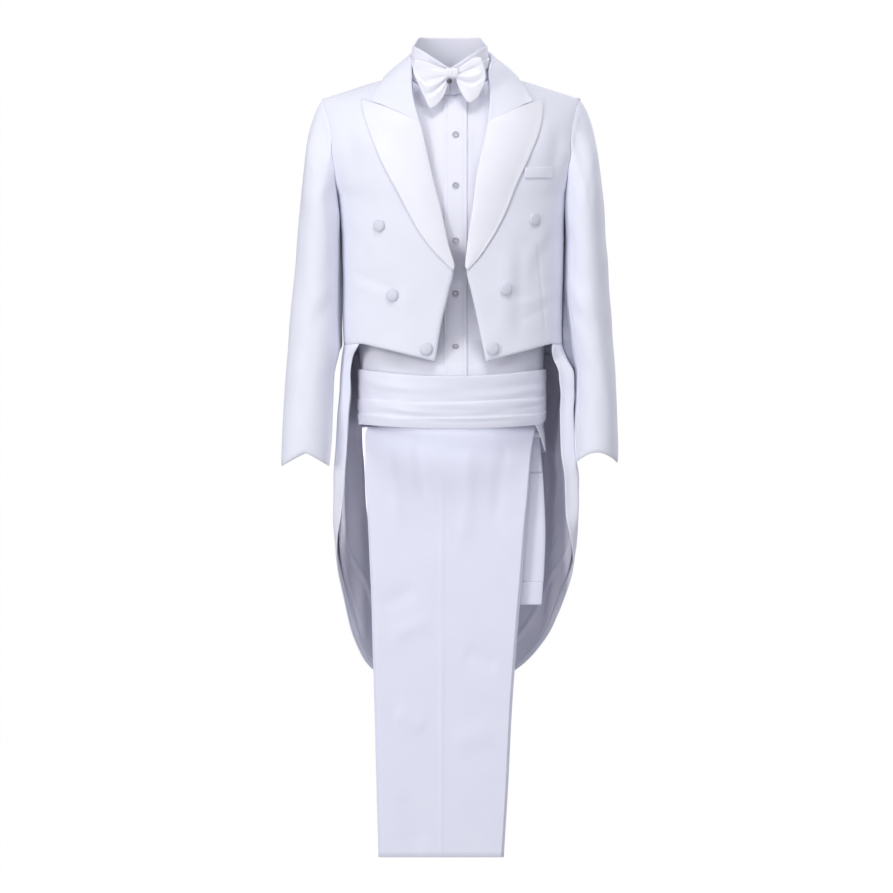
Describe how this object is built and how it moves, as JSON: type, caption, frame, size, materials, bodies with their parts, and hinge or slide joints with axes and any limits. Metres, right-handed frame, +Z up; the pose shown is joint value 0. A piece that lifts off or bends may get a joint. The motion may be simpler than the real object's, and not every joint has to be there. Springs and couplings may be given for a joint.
{
  "type": "tailcoat suit",
  "caption": "White evening dress set: tailcoat with peaked lapels over a shirt, bow tie and cummerbund, filled out, with creased trousers folded over a bar at the waist.",
  "frame": {"origin": "on the body's middle line at the height of the shoulder points, where the wearer's shoulders carry the coat", "axes": "+Z up, the front of the set faces -Y, +X is the wearer's left"},
  "size_m": [0.5954, 0.2662, 1.444],
  "materials": {
    "wool": "fine white twill suiting, matt",
    "satin": "white satin, soft sheen",
    "poplin": "fine white cotton poplin, matt",
    "lining": "grey-white lining satin, soft sheen",
    "button": "pearly white shirt button",
    "bar": "plain white bar"
  },
  "bodies": {
    "root": {"bow_band": "satin", "bow_knot": "satin", "bow_wing_left": "satin", "bow_wing_right": "satin", "breast_welt": "wool", "coat_back_left": "wool", "coat_back_right": "wool", "coat_button_left_1": "satin", "coat_button_left_2": "satin", "coat_button_left_3": "satin", "coat_button_right_1": "satin", "coat_button_right_2": "satin", "coat_button_right_3": "satin", "coat_collar": "wool", "coat_front_left": "wool", "coat_front_right": "wool", "coat_side_left": "wool", "coat_side_right": "wool", "cummerbund_band": "satin", "cummerbund_front": "satin", "lapel_left": "satin", "lapel_right": "satin", "shirt_back": "poplin", "shirt_button_1": "button", "shirt_button_2": "button", "shirt_button_3": "button", "shirt_button_4": "button", "shirt_button_5": "button", "shirt_collar": "poplin", "shirt_front_left": "poplin", "shirt_front_right": "poplin", "shirt_placket": "poplin", "sleeve_top_left": "wool", "sleeve_top_right": "wool", "sleeve_under_left": "wool", "sleeve_under_right": "wool", "tail_lining_left": "lining", "tail_lining_right": "lining", "tail_skirt_left": "wool", "tail_skirt_right": "wool", "trouser_bar": "bar", "trouser_leg_left": "wool", "trouser_leg_right": "wool", "trouser_seat_left": "wool", "trouser_seat_right": "wool", "trouser_waistband": "wool", "waist_button_left": "satin", "waist_button_right": "satin"}
  },
  "joints": []
}
